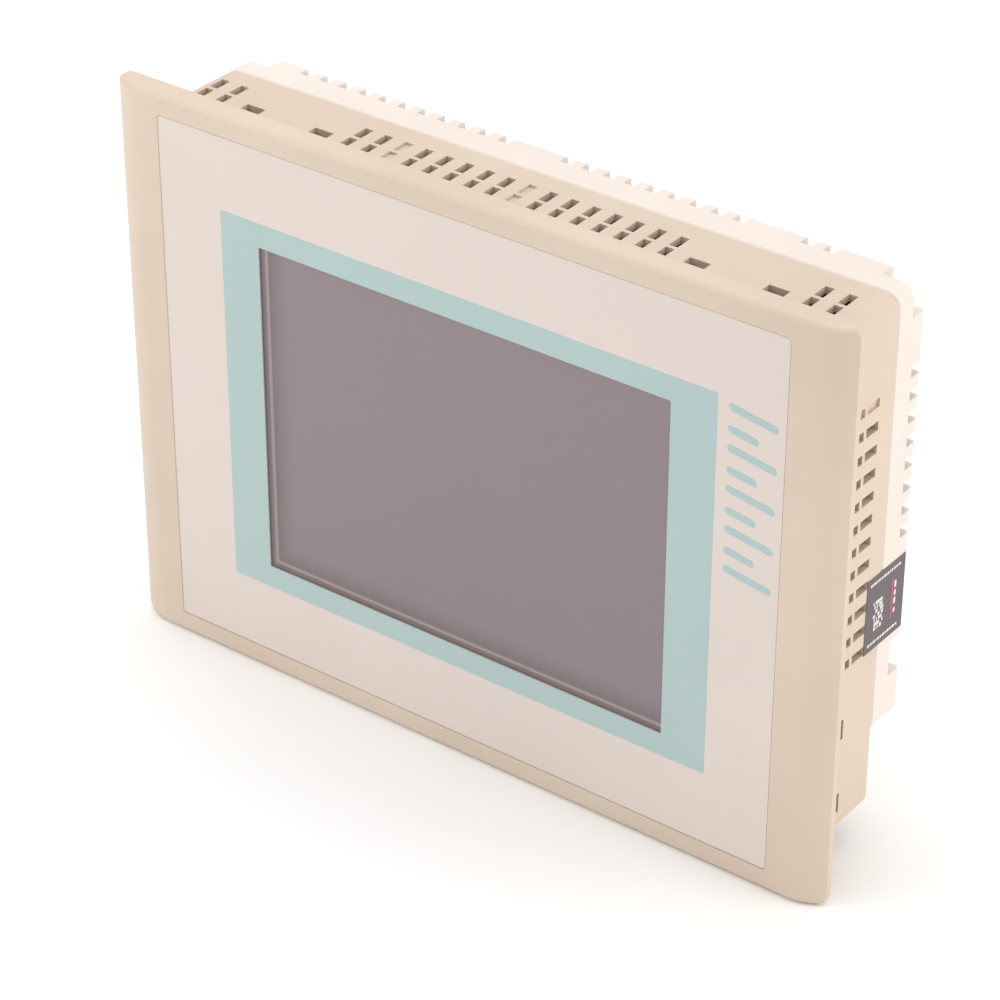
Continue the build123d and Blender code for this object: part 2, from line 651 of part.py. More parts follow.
def earth_terminal():
    """Shouldered stud held on a bracket by a washer and nut, with an M4 end for the earth conductor's lug."""
    bracket = block(EARTH_X - 5, EARTH_X + 5, BOARD_BACK_Y, EARTH_Y + 5, STEP_Z + WALL + 0.1, STEP_Z + WALL + 1.7)
    bracket += block(EARTH_X - 5, EARTH_X + 5, BOARD_BACK_Y, BOARD_BACK_Y + 1.6, STEP_Z + WALL + 1.7, -36)
    bracket -= rod_z(EARTH_X, EARTH_Y, STEP_Z, STEP_Z + 6, 2.55)
    stud = rod_z(EARTH_X, EARTH_Y, STEP_Z - 11.0, EARTH_STEP_Z, 2.0)
    stud += rod_z(EARTH_X, EARTH_Y, EARTH_STEP_Z, STEP_Z + WALL + 1.7, 2.5)
    stud += rod_z(EARTH_X, EARTH_Y, STEP_Z + WALL + 1.7, STEP_Z + WALL + 3.0, 4.0)
    washer = rod_z(EARTH_X, EARTH_Y, STEP_Z + WALL - 0.9, STEP_Z + WALL + 0.1, 5.0)
    washer -= rod_z(EARTH_X, EARTH_Y, STEP_Z, STEP_Z + 4, 2.6)
    nut = hex_z(EARTH_X, EARTH_Y, STEP_Z + WALL - 4.1, STEP_Z + WALL - 0.9, 8.0)
    nut -= rod_z(EARTH_X, EARTH_Y, STEP_Z - 4, STEP_Z + 4, 2.55)
    return bracket, stud, washer, nut


# ---- mode switch -----------------------------------------------------------

def dip_slider_x(index):
    return DIP_X + (index - (DIP_COUNT - 1) / 2) * DIP_PITCH


def dip_socket():
    return block(DIP_X - DIP_W / 2, DIP_X + DIP_W / 2, BOARD_BACK_Y, DIP_SEAT_Y, DIP_Z - DIP_H / 2, DIP_Z + DIP_H / 2)


def dip_body():
    """Switch body with a track for each slider."""
    body = block(DIP_X - DIP_W / 2, DIP_X + DIP_W / 2, DIP_SEAT_Y, DIP_TOP_Y, DIP_Z - DIP_H / 2, DIP_Z + DIP_H / 2)
    reach = (SLIDER_H + DIP_TRAVEL) / 2 + 0.1
    for index in range(DIP_COUNT):
        x = dip_slider_x(index)
        half = SLIDER_W / 2 + 0.1
        body -= block(x - half, x + half, DIP_TOP_Y - 2.4, DIP_TOP_Y + 1, DIP_Z - reach, DIP_Z + reach)
    return body


def dip_slider(index):
    """One slider, resting at the lower end of its track."""
    x = dip_slider_x(index)
    z0 = DIP_Z - (SLIDER_H + DIP_TRAVEL) / 2
    return block(x - SLIDER_W / 2, x + SLIDER_W / 2, DIP_TOP_Y - 2.3, DIP_TOP_Y + 1.1, z0, z0 + SLIDER_H)


# ---- labels ----------------------------------------------------------------

def side_label():
    """Dark self-adhesive label that bridges housing and cover on the right flank."""
    x = BODY_W / 2
    return block(x + 0.02, x + 0.14, 21.6, 38.2, -23.0, -2.3)


def rating_plate():
    return block(-64.4, 12.4, REAR_Y - 0.4, REAR_Y - 0.05, -20.4, 24.4)


def write_nodes():
    save("front_housing", front_housing())
    save("rear_cover", rear_cover())
    save("cover_screws", cover_screws())
    save("front_foil", front_foil())
    film, glass = touch_screen()
    save("touch_film", film)
    save("touch_glass", glass)
    save("touch_tail", touch_tail())
    save("panel_seal", panel_seal())
    save("display_seal", display_seal())
    save("lcd_frame", lcd_frame())
    cell, diffuser, guide = lcd_layers()
    save("lcd_cell", cell)
    save("lcd_diffuser", diffuser)
    save("light_guide", guide)
    lamp, channel = backlight()
    save("backlight_lamp", lamp)
    save("lamp_reflector", channel)
    save("lcd_tray", lcd_tray())
    save("display_cable", display_cable())
    save("lamp_lead", lamp_lead())
    save("carrier_plate", carrier_plate())
    save("plate_screws", plate_screws())
    save("board_standoffs", standoffs())
    save("main_board", main_board())
    save("board_screws", board_screws())
    save("processor", on_board(14, 26, 27, 27, 2.3))
    save("memory_chips", memory_chips())
    save("logic_chips", logic_chips())
    save("capacitors", capacitors())
    save("small_components", small_components())
    save("power_coil", power_coil())
    save("fuse", on_board(-70, -18, 10.0, 4.0, 3.6))
    save("buzzer", rod_y(40, 44, BOARD_BACK_Y, BOARD_BACK_Y + 8.0, 6.0))
    save("display_socket", block(70.0, 86.0, 16.4, BOARD_Y, -12, 12))
    save("touch_socket", block(29.0, 47.0, 13.8, BOARD_Y, -39.0, -34.0))
    save("inverter_board", inverter_board())
    save("inverter_feet", inverter_feet())
    transformer, plug = inverter_parts()
    save("inverter_transformer", transformer)
    save("lamp_plug", plug)
    header, pins = power_header()
    save("power_header", header)
    save("power_pins", pins)
    shell, flange, insert, locks = serial_port()
    save("serial_shell", shell)
    save("serial_flange", flange)
    save("serial_insert", insert)
    save("serial_locks", locks)
    jack, contacts = network_jack()
    save("network_jack", jack)
    save("network_contacts", contacts)
    shell, tongue = usb_port()
    save("usb_shell", shell)
    save("usb_tongue", tongue)
    bracket, stud, washer, nut = earth_terminal()
    save("earth_bracket", bracket)
    save("earth_stud", stud)
    save("earth_washer", washer)
    save("earth_nut", nut)
    save("dip_socket", dip_socket())
    save("dip_body", dip_body())
    for index in range(DIP_COUNT):
        save("dip_slider_" + str(index + 1), dip_slider(index))
    save("side_label", side_label())
    save("rating_plate", rating_plate())


write_nodes()
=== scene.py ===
import math

import bpy
import numpy as np
from mathutils import Matrix, Vector


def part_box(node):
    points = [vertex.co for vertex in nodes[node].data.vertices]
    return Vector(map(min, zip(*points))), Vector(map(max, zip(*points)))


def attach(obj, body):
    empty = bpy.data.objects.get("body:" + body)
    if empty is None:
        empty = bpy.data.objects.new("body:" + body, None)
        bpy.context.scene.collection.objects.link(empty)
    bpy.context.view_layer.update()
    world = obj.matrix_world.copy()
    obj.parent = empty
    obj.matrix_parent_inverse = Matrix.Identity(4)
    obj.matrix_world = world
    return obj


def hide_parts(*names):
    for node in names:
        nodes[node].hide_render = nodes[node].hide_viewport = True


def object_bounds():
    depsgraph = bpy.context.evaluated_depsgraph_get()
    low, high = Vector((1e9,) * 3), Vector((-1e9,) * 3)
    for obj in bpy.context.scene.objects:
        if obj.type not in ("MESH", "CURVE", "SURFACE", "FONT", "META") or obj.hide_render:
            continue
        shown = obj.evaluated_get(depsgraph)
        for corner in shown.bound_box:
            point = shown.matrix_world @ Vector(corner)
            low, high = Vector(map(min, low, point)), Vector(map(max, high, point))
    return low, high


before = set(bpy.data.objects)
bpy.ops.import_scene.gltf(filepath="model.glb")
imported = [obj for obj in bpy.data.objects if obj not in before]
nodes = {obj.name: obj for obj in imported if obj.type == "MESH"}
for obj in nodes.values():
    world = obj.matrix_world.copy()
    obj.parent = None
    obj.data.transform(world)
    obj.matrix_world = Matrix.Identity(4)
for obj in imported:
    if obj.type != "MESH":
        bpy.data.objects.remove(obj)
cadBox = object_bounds()
mm = 0.001
print("frame loaded:", len(nodes), "nodes")


def sRgb(hexText):
    # sRGB hex to linear: below 0.04045 a straight line, above it a power of 2.4
    values = [int(hexText[i:i + 2], 16) / 255 for i in (1, 3, 5)]
    linear = [v / 12.92 if v <= 0.04045 else ((v + 0.055) / 1.055) ** 2.4 for v in values]
    return (*linear, 1.0)


def addNode(tree, kind, settings=None, inputs=None, links=None, stops=()):
    # one node, its properties, its socket values, the sockets that feed it and a ramp's (place, colour) stops
    node = tree.nodes.new(kind)
    while len(stops) > len(node.color_ramp.elements if stops else ()):
        node.color_ramp.elements.new(0.5)
    for index, (place, colour) in enumerate(stops):
        node.color_ramp.elements[index].position = place
        node.color_ramp.elements[index].color = colour
    for name, value in (settings or {}).items():
        setattr(node, name, value)
    for name, value in (inputs or {}).items():
        node.inputs[name].default_value = value
    for name, source in (links or {}).items():
        tree.links.new(source, node.inputs[name])
    return node


def newMaterial(name):
    # a fresh material with its tree, its shader and the object coordinates in metres
    material = bpy.data.materials.new(name)
    material.use_nodes = True
    tree = material.node_tree
    shader = tree.nodes["Principled BSDF"]
    place = addNode(tree, "ShaderNodeTexCoord").outputs["Object"]
    return material, tree, shader, place


def surfaceTexture(tree, shader, place, grainMm, depthMm, strength=1.0, detail=2.0):
    # fine bump whose grain is a real size in millimetres
    noise = addNode(tree, "ShaderNodeTexNoise", inputs={"Scale": 1 / (grainMm * mm), "Detail": detail},
                    links={"Vector": place})
    bump = addNode(tree, "ShaderNodeBump", inputs={"Strength": strength, "Distance": depthMm * mm},
                   links={"Height": noise.outputs["Fac"]})
    tree.links.new(bump.outputs["Normal"], shader.inputs["Normal"])
    return noise.outputs["Fac"]


def varied(tree, shader, place, darkHex, lightHex, patchMm, roughLow, roughHigh):
    # slow colour drift and uneven gloss over patches of a real size
    patch = addNode(tree, "ShaderNodeTexNoise", inputs={"Scale": 1 / (patchMm * mm), "Detail": 4.0},
                    links={"Vector": place})
    colour = addNode(tree, "ShaderNodeValToRGB", links={"Fac": patch.outputs["Fac"]},
                     stops=[(0.35, sRgb(darkHex)), (0.65, sRgb(lightHex))])
    tree.links.new(colour.outputs["Color"], shader.inputs["Base Color"])
    gloss = addNode(tree, "ShaderNodeMapRange",
                    inputs={"From Min": 0.3, "From Max": 0.7, "To Min": roughLow, "To Max": roughHigh},
                    links={"Value": patch.outputs["Fac"]})
    tree.links.new(gloss.outputs["Result"], shader.inputs["Roughness"])
    return colour.outputs["Color"]


plasticIor = 1.54
filmIor = 1.5


def mouldedPlastic(name, look):
    # a dielectric with a drifting colour and gloss and a fine moulded grain
    material, tree, shader, place = newMaterial(name)
    varied(tree, shader, place, look["dark"], look["light"], look["patchMm"],
           look["rough"] - 0.04, look["rough"] + 0.04)
    surfaceTexture(tree, shader, place, look["grainMm"], look["depthMm"], look.get("strength", 0.5))
    shader.inputs["IOR"].default_value = plasticIor
    return material


def plainMetal(name, look):
    # a conductor whose base colour is what it reflects, with uneven gloss and a fine rolled or plated texture
    material, tree, shader, place = newMaterial(name)
    varied(tree, shader, place, look["dark"], look["light"], look["patchMm"],
           look["rough"] - 0.06, look["rough"] + 0.06)
    surfaceTexture(tree, shader, place, look["grainMm"], look["depthMm"], 0.4)
    shader.inputs["Metallic"].default_value = 1.0
    return material


def clearMaterial(name, look):
    # a dielectric that lets most of the light through
    material, tree, shader, place = newMaterial(name)
    varied(tree, shader, place, look["dark"], look["light"], look["patchMm"],
           look["rough"], look["rough"] + 0.02)
    shader.inputs["Transmission Weight"].default_value = look["transmission"]
    shader.inputs["IOR"].default_value = look["ior"]
    return material


def paint(material, *names):
    # gives one material to every named node
    for name in names:
        nodes[name].data.materials.clear()
        nodes[name].data.materials.append(material)


def meshPiece(name, verts, faces, material, body="panel", smooth=False):
    # one mesh object from points in metres, riding on a body
    mesh = bpy.data.meshes.new(name)
    mesh.from_pydata(np.asarray(verts, float).tolist(), [], faces)
    mesh.validate()
    mesh.update()
    mesh.polygons.foreach_set("use_smooth", np.full(len(mesh.polygons), smooth))
    mesh.materials.append(material)
    piece = bpy.data.objects.new(name, mesh)
    bpy.context.scene.collection.objects.link(piece)
    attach(piece, body)
    return piece


def gridFaces(rows, columns, closedColumns=False):
    # quads of a rows x columns grid of points, wrapped round where the columns close
    last = columns if closedColumns else columns - 1
    r, c = np.meshgrid(np.arange(rows - 1), np.arange(last), indexing="ij")
    nextC = (c + 1) % columns
    quads = np.stack([r * columns + c, r * columns + nextC, (r + 1) * columns + nextC, (r + 1) * columns + c], -1)
    return quads.reshape(-1, 4)


def prismMesh(outlines, low, high, order):
    # every outline (rows of 2-D points in mm) becomes a closed prism from low to high (metres): its points at both
    # depths, two caps and a quad per side; order says which of (u, v, depth) goes to x, y and z
    flat = np.asarray(outlines, float) * mm
    number, count = flat.shape[:2]
    both = np.repeat(flat[:, None], 2, axis=1)
    depth = np.broadcast_to(np.array([low, high])[:, None, None], (number, 2, count, 1))
    verts = np.concatenate([both, depth], -1)[..., list(order)].reshape(-1, 3)
    ring = np.arange(count)
    after = np.roll(ring, -1)
    start = 2 * count * np.arange(number)
    sides = np.stack([after, ring, count + ring, count + after], -1) + start[:, None, None]
    faces = (start[:, None] + ring).tolist() + (start[:, None] + count + ring[::-1]).tolist()
    return verts, faces + sides.reshape(-1, 4).tolist()


def outwards(piece):
    # turns every closed shell's faces outwards
    bpy.context.view_layer.objects.active = piece
    piece.select_set(True)
    bpy.ops.object.mode_set(mode="EDIT")
    bpy.ops.mesh.select_all(action="SELECT")
    bpy.ops.mesh.normals_make_consistent(inside=False)
    bpy.ops.object.mode_set(mode="OBJECT")
    piece.select_set(False)


def roundedOutline(width, height, radius, steps=6, centre=(0.0, 0.0)):
    # rectangle with round corners, anticlockwise: each corner's centre plus the radius at evenly spread angles
    corners = np.repeat(np.array([(1, 1), (-1, 1), (-1, -1), (1, -1)]), steps + 1, axis=0)
    angles = np.radians(np.concatenate([np.linspace(start, start + 90, steps + 1) for start in (0, 90, 180, 270)]))
    reach = np.array([width / 2 - radius, height / 2 - radius])
    return np.array(centre) + corners * reach + radius * np.column_stack([np.cos(angles), np.sin(angles)])


# flame-retardant ABS blend from a spark-eroded mould: warm beige, an even fine grain that breaks up the sheen
housing = {"dark": "#d2c1ae", "light": "#d8c8b5", "patchMm": 60, "rough": 0.46, "grainMm": 0.35, "depthMm": 0.02,
           "strength": 0.4}
# the same ABS in off-white, from a mould with the same grain: paler and a touch duller
cover = {"dark": "#e6dbd2", "light": "#ebe1d8", "patchMm": 55, "rough": 0.48, "grainMm": 0.35, "depthMm": 0.02,
         "strength": 0.4}
# polyester film, back-printed and lightly embossed: cool grey, flat, a broad soft sheen
foil = {"dark": "#dacec6", "light": "#ddd2ca", "patchMm": 80, "rough": 0.42, "grainMm": 0.25, "depthMm": 0.01,
        "strength": 0.25}
# screen-printed turquoise ink on the same film: the only saturated colour, as even as the grey
turquoise = {"dark": "#a9c0bf", "light": "#aec5c4", "patchMm": 80, "rough": 0.42, "grainMm": 0.25, "depthMm": 0.01,
             "strength": 0.25}
# painted shade on the inner walls: a dark coat that stands in for the shade inside the housing; in mm: where it starts
# in x, z and y, and the bay that it leaves out
insideShade = {"colour": "#262321", "halfX": 95.9, "halfZ": 68.3, "midY": 18.0, "halfY": 19.2, "bayFloorY": 17.95,
          "bayRoofZ": -47.1, "coverHalfX": 80.0}


def withPaintedInsideShade(material, halfX):
    # painted shade: a dark coat inside the box of the walls stands in for the shade there: colour = the dark coat where
    # |x|, |z| and |y - middle| are all within their halves and the place is not in the open connector bay, else the
    # plastic
    tree = material.node_tree
    shader = tree.nodes["Principled BSDF"]
    plastic = shader.inputs["Base Color"].links[0].from_socket
    place = addNode(tree, "ShaderNodeTexCoord").outputs["Object"]
    axes = addNode(tree, "ShaderNodeSeparateXYZ", links={"Vector": place})
    tests = []
    for axis, middle, half in (("X", 0, halfX), ("Z", 0, insideShade["halfZ"]),
                               ("Y", insideShade["midY"], insideShade["halfY"])):
        near = addNode(tree, "ShaderNodeMath", {"operation": "COMPARE"}, links={0: axes.outputs[axis]})
        near.inputs[1].default_value = middle * mm
        near.inputs[2].default_value = half * mm
        tests.append(near.outputs[0])
    above = addNode(tree, "ShaderNodeMath", {"operation": "GREATER_THAN"}, links={0: axes.outputs["Z"]})
    above.inputs[1].default_value = insideShade["bayRoofZ"] * mm
    before = addNode(tree, "ShaderNodeMath", {"operation": "LESS_THAN"}, links={0: axes.outputs["Y"]})
    before.inputs[1].default_value = insideShade["bayFloorY"] * mm
    mask = addNode(tree, "ShaderNodeMath", {"operation": "MAXIMUM"}, links={0: above.outputs[0], 1: before.outputs[0]})
    for test in tests:
        mask = addNode(tree, "ShaderNodeMath", {"operation": "MULTIPLY"}, links={0: mask.outputs[0], 1: test})
    mix = addNode(tree, "ShaderNodeMix", {"data_type": "RGBA"})
    mix.inputs[7].default_value = sRgb(insideShade["colour"])
    tree.links.new(mask.outputs[0], mix.inputs[0])
    tree.links.new(plastic, mix.inputs[6])
    tree.links.new(mix.outputs[2], shader.inputs["Base Color"])
    return material


housingPlastic = withPaintedInsideShade(mouldedPlastic("mouldedAbsBeige", housing), insideShade["halfX"])
coverPlastic = withPaintedInsideShade(mouldedPlastic("mouldedAbsOffWhite", cover), insideShade["coverHalfX"])
foilPrint = mouldedPlastic("printedPolyesterGrey", foil)
turquoisePrint = mouldedPlastic("printedPolyesterTurquoise", turquoise)
paint(housingPlastic, "front_housing")
paint(coverPlastic, "rear_cover")
paint(foilPrint, "front_foil")
print("housing, cover and foil done")


foilLow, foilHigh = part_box("front_foil")
# the printed frame, in mm: its outside and how far that is off centre, the window, the ink's build-up and bite
frontPrint = {"outerWidth": 144.6, "outerHeight": 104.1, "shiftX": 0.4, "shiftZ": 0.15, "windowWidth": 120.4,
              "windowHeight": 91.4, "thickness": 0.02, "bite": 0.004, "corner": 0.4}


def printedFrame():
    # a flat ring, the outer rectangle less the window: four loops, outer and inner at both depths, joined in turn
    p = frontPrint
    outer = roundedOutline(p["outerWidth"], p["outerHeight"], p["corner"], 4, (p["shiftX"], p["shiftZ"]))
    inner = roundedOutline(p["windowWidth"], p["windowHeight"], p["corner"], 4)
    count = len(outer)
    back = foilLow.y + frontPrint["bite"] * mm
    front = foilLow.y - p["thickness"] * mm
    loops = np.concatenate([outer, outer, inner, inner]) * mm
    depths = np.repeat([back, front, front, back], count)
    verts = np.column_stack([loops[:, 0], depths, loops[:, 1]])
    faces = gridFaces(5, count, True) % (4 * count)
    outwards(meshPiece("printed_frame", verts, faces.tolist(), turquoisePrint))


# the column of bars, in mm, with the slope of each
bars = {"count": 9, "top": 49.0, "bottom": 6.5, "left": 75.6, "long": 13.2, "short": 8.2, "width": 2.0, "slope": 0.16}


def printedBars():
    # a column of slanted bars with round ends, long and short in turn: z falls by slope times x along each
    b = bars
    outlines = []
    for k in range(b["count"]):
        z = b["top"] + (b["bottom"] - b["top"]) * k / (b["count"] - 1)
        length = b["long"] if k % 2 == 0 else b["short"]
        shape = roundedOutline(length, b["width"], b["width"] / 2 - 0.01, 6)
        shape[:, 1] += -b["slope"] * shape[:, 0] + z
        shape[:, 0] += b["left"] + length / 2
        outlines.append(shape)
    front = foilLow.y - frontPrint["thickness"] * mm
    verts, faces = prismMesh(outlines, front, foilLow.y + frontPrint["bite"] * mm, (0, 2, 1))
    outwards(meshPiece("printed_bars", verts, faces, turquoisePrint))


printedFrame()
printedBars()
print("front print done")


filmLow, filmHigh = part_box("touch_film")
# the film's relief in mm: ridge over the glue bead, dip behind it, sag, and how the grid is spread
film = {"crestIn": 2.1, "crestWidth": 0.55, "crestHeight": 0.12, "valleyIn": 4.6, "valleyWidth": 1.8,
        "valleyDepth": 0.03, "sag": 0.12, "soft": 0.35, "farthest": 60, "edgeSteps": 60, "edgeZone": 12.0,
        "middleSteps": 24}


def spacedAxis(half, windowHalf):
    # positions along one side: dense inside the window's edge, where the film bends, sparse in the middle
    zone = np.linspace(0, 1, film["edgeSteps"]) * film["edgeZone"]
    edge = windowHalf - zone
    middle = np.linspace(edge[-1], -edge[-1], film["middleSteps"])[1:-1]
    return np.concatenate([[half], edge, middle, -edge[::-1], [-half]]) * mm


def touchFilm():
    # depth behind the foil = an even sag, less a narrow Gaussian ridge over the glue bead that runs up the
    # left side and along the bottom a little way inside the window, plus a wide shallow dip behind the ridge;
    # near = a soft minimum of the distances from the left and from the bottom
    halfW = frontPrint["windowWidth"] / 2
    halfH = frontPrint["windowHeight"] / 2
    xs = spacedAxis(filmHigh.x / mm, halfW)
    zs = spacedAxis(filmHigh.z / mm, halfH)
    x, z = np.meshgrid(xs, zs, indexing="xy")
    fromLeft = x / mm + halfW
    fromBottom = z / mm + halfH
    soft = film["soft"]
    sides = [np.exp(-np.clip(reach, -9, film["farthest"]) / soft) for reach in (fromLeft, fromBottom)]
    near = -soft * np.log(sides[0] + sides[1])
    ridge = film["crestHeight"] * np.exp(-((near - film["crestIn"]) / film["crestWidth"]) ** 2)
    dip = film["valleyDepth"] * np.exp(-((near - film["valleyIn"]) / film["valleyWidth"]) ** 2)
    seen = (np.abs(x) < (halfW - 0.1) * mm) & (np.abs(z) < (halfH - 0.1) * mm)
    front = filmLow.y + np.where(seen, film["sag"] - ridge + dip, 0.0) * mm
    back = np.full_like(front, filmHigh.y)
    rows, columns = x.shape
    points = np.stack([x, front, z], -1).reshape(-1, 3)
    behind = np.stack([x, back, z], -1).reshape(-1, 3)
    quads = gridFaces(rows, columns)
    top = np.arange(rows * columns).reshape(rows, columns)
    rim = np.concatenate([top[0, :-1], top[:-1, -1], top[-1, :0:-1], top[:0:-1, 0]])
    shift = rows * columns
    walls = np.stack([rim, rim + shift, np.roll(rim, -1) + shift, np.roll(rim, -1)], -1)
    faces = np.concatenate([quads, quads[:, ::-1] + shift, walls])
    piece = meshPiece("touch_film_surface", np.concatenate([points, behind]), faces.tolist(), filmPaintedEdgeLight,
                      smooth=True)
    outwards(piece)
    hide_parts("touch_film")


# painted shadow, highlight and shade across the film's border, as colours from the window's edge inwards, over a reach
# in mm: a painted shadow line at the edge, a painted highlight over the glue bead's ridge, painted shade behind it
filmEdgeLight = {"reachMm": 9.0, "blendMm": 0.6, "patchMm": 40,
              "stops": [(0.0, "#54494c"), (0.04, "#6d6063"), (0.17, "#786c6f"), (0.2, "#948786"),
                        (0.26, "#9a8d8b"), (0.31, "#766a6b"), (0.5, "#7c7174"), (0.95, "#887c80")]}


def filmWithPaintedEdgeLight():
    # hard-coated polyester over an unlit display: grey-mauve body, blurred reflections from its matt coat; the bands
    # along the left and bottom are painted light and shade: a dark painted shadow line at the window's edge, a painted
    # highlight over the glue bead's ridge and a painted shade band behind it
    material, tree, shader, place = newMaterial("hardCoatedPolyesterFilmPaintedEdgeLight")
    axes = addNode(tree, "ShaderNodeSeparateXYZ", links={"Vector": place})
    fromLeft = addNode(tree, "ShaderNodeMath", {"operation": "ADD"}, links={0: axes.outputs["X"]})
    fromLeft.inputs[1].default_value = frontPrint["windowWidth"] / 2 * mm
    fromBottom = addNode(tree, "ShaderNodeMath", {"operation": "ADD"}, links={0: axes.outputs["Z"]})
    fromBottom.inputs[1].default_value = frontPrint["windowHeight"] / 2 * mm
    near = addNode(tree, "ShaderNodeMath", {"operation": "SMOOTH_MIN"},
                   links={0: fromLeft.outputs[0], 1: fromBottom.outputs[0]})
    near.inputs[2].default_value = filmEdgeLight["blendMm"] * mm
    part = addNode(tree, "ShaderNodeMath", {"operation": "DIVIDE"}, links={0: near.outputs[0]})
    part.inputs[1].default_value = filmEdgeLight["reachMm"] * mm
    # the ramp paints the shadow line, the highlight and the shade band along the left and bottom
    colour = addNode(tree, "ShaderNodeValToRGB", links={"Fac": part.outputs[0]},
                     stops=[(at, sRgb(hexText)) for at, hexText in filmEdgeLight["stops"]])
    patch = addNode(tree, "ShaderNodeTexNoise", inputs={"Scale": 1 / (filmEdgeLight["patchMm"] * mm), "Detail": 4.0},
                    links={"Vector": place})
    gloss = addNode(tree, "ShaderNodeMapRange",
                    inputs={"From Min": 0.3, "From Max": 0.7, "To Min": 0.3, "To Max": 0.36},
                    links={"Value": patch.outputs["Fac"]})
    tree.links.new(gloss.outputs["Result"], shader.inputs["Roughness"])
    tree.links.new(colour.outputs["Color"], shader.inputs["Base Color"])
    surfaceTexture(tree, shader, place, 0.2, 0.006, 0.4)
    shader.inputs["IOR"].default_value = filmIor
    return material


filmPaintedEdgeLight = filmWithPaintedEdgeLight()
touchFilm()
print("touch film done")


# float glass, ground at the edges: clear with a faint green body, sharp reflections
glassLook = {"dark": "#e6eeec", "light": "#eef4f2", "patchMm": 50, "rough": 0.02, "transmission": 1.0, "ior": 1.52}
# cast acrylic sheet with polished faces: clear and colourless
acrylicLook = {"dark": "#eef2f2", "light": "#f6f8f8", "patchMm": 50, "rough": 0.04, "transmission": 0.9, "ior": 1.49}
# moulded nylon, natural white: slightly glossy, fine grain
whitePlastic = {"dark": "#e6e6e0", "light": "#efefe9", "patchMm": 25, "rough": 0.45, "grainMm": 0.3, "depthMm": 0.01}
# moulded PBT, near black: soft sheen on a fine grain
blackPlastic = {"dark": "#161617", "light": "#1f1f21", "patchMm": 15, "rough": 0.42, "grainMm": 0.25, "depthMm": 0.015}
# moulded polyamide in terminal green: soft sheen
greenPlastic = {"dark": "#1f7a48", "light": "#268954", "patchMm": 15, "rough": 0.4, "grainMm": 0.25, "depthMm": 0.015}
# moulded PBT in blue: smooth and a little glossier
bluePlastic = {"dark": "#173f86", "light": "#1c4a98", "patchMm": 10, "rough": 0.38, "grainMm": 0.25, "depthMm": 0.01}
# closed-cell foam, die-cut: black, dull, with open cells in its skin
foam = {"dark": "#141414", "light": "#242424", "patchMm": 4, "rough": 0.85, "grainMm": 0.5, "depthMm": 0.08}
# moulded EPDM: black, matt, slightly uneven
rubber = {"dark": "#1a1a1b", "light": "#232324", "patchMm": 20, "rough": 0.62, "grainMm": 0.4, "depthMm": 0.02}
# transfer-moulded epoxy of chip packages: charcoal, fine and dull
epoxy = {"dark": "#17181a", "light": "#222326", "patchMm": 8, "rough": 0.5, "grainMm": 0.2, "depthMm": 0.01}
# sintered ferrite: dark grey, granular
ferrite = {"dark": "#2a2a2d", "light": "#38383b", "patchMm": 6, "rough": 0.6, "grainMm": 0.2, "depthMm": 0.02}
# polyimide film of flat cables: amber and smooth
amberFilm = {"dark": "#a8651c", "light": "#bb7424", "patchMm": 12, "rough": 0.3, "grainMm": 0.6, "depthMm": 0.01}
# extruded silicone sleeving: pink, waxy
pinkSleeve = {"dark": "#d25a68", "light": "#dc6a76", "patchMm": 8, "rough": 0.45, "grainMm": 0.4, "depthMm": 0.01}
# zinc-plated sheet: blotchy dark grey metal, darkened as painted shade for the inside of the housing, where the carrier
# plate sits
zincSheet = {"dark": "#4a4b4d", "light": "#5c5e60", "patchMm": 7, "rough": 0.38, "grainMm": 0.8, "depthMm": 0.01}
# tin-plated steel, rolled: bright, slightly streaky
tinPlate = {"dark": "#b9b9b7", "light": "#cfcfcc", "patchMm": 12, "rough": 0.28, "grainMm": 0.5, "depthMm": 0.005}
# zinc-plated turned steel: mid grey, fine plated texture
zincSteel = {"dark": "#8f9294", "light": "#a9acae", "patchMm": 4, "rough": 0.34, "grainMm": 0.3, "depthMm": 0.008}
# turned brass, lightly plated: warm yellow metal
brassNickel = {"dark": "#b89a5c", "light": "#cbb074", "patchMm": 5, "rough": 0.3, "grainMm": 0.3, "depthMm": 0.006}
# deep-drawn aluminium cans: pale, even metal
drawnAluminium = {"dark": "#b4b7ba", "light": "#c8cacc", "patchMm": 6, "rough": 0.3, "grainMm": 0.3, "depthMm": 0.005}
# gold-flashed bronze springs: warm and bright
goldFlash = {"dark": "#c9a24e", "light": "#d8b464", "patchMm": 3, "rough": 0.25, "grainMm": 0.2, "depthMm": 0.004}


def solderMask():
    # glass-epoxy laminate under green lacquer: a brick pattern of traces, paler where the gaps between them run
    material, tree, shader, place = newMaterial("solderMaskGreen")
    cells = addNode(tree, "ShaderNodeTexBrick",
                    settings={"offset": 0.5},
                    inputs={"Scale": 1.0, "Brick Width": 5.08 * mm, "Row Height": 1.27 * mm, "Mortar Size": 0.22 * mm,
                            "Color1": sRgb("#12502c"), "Color2": sRgb("#17602f"), "Mortar": sRgb("#2b8a48")})
    turn = addNode(tree, "ShaderNodeMapping", links={"Vector": place})
    turn.inputs["Rotation"].default_value = (math.radians(90), 0, 0)
    tree.links.new(turn.outputs["Vector"], cells.inputs["Vector"])
    tree.links.new(cells.outputs["Color"], shader.inputs["Base Color"])
    shader.inputs["Roughness"].default_value = 0.3
    surfaceTexture(tree, shader, place, 0.9, 0.01, 0.3)
    return material


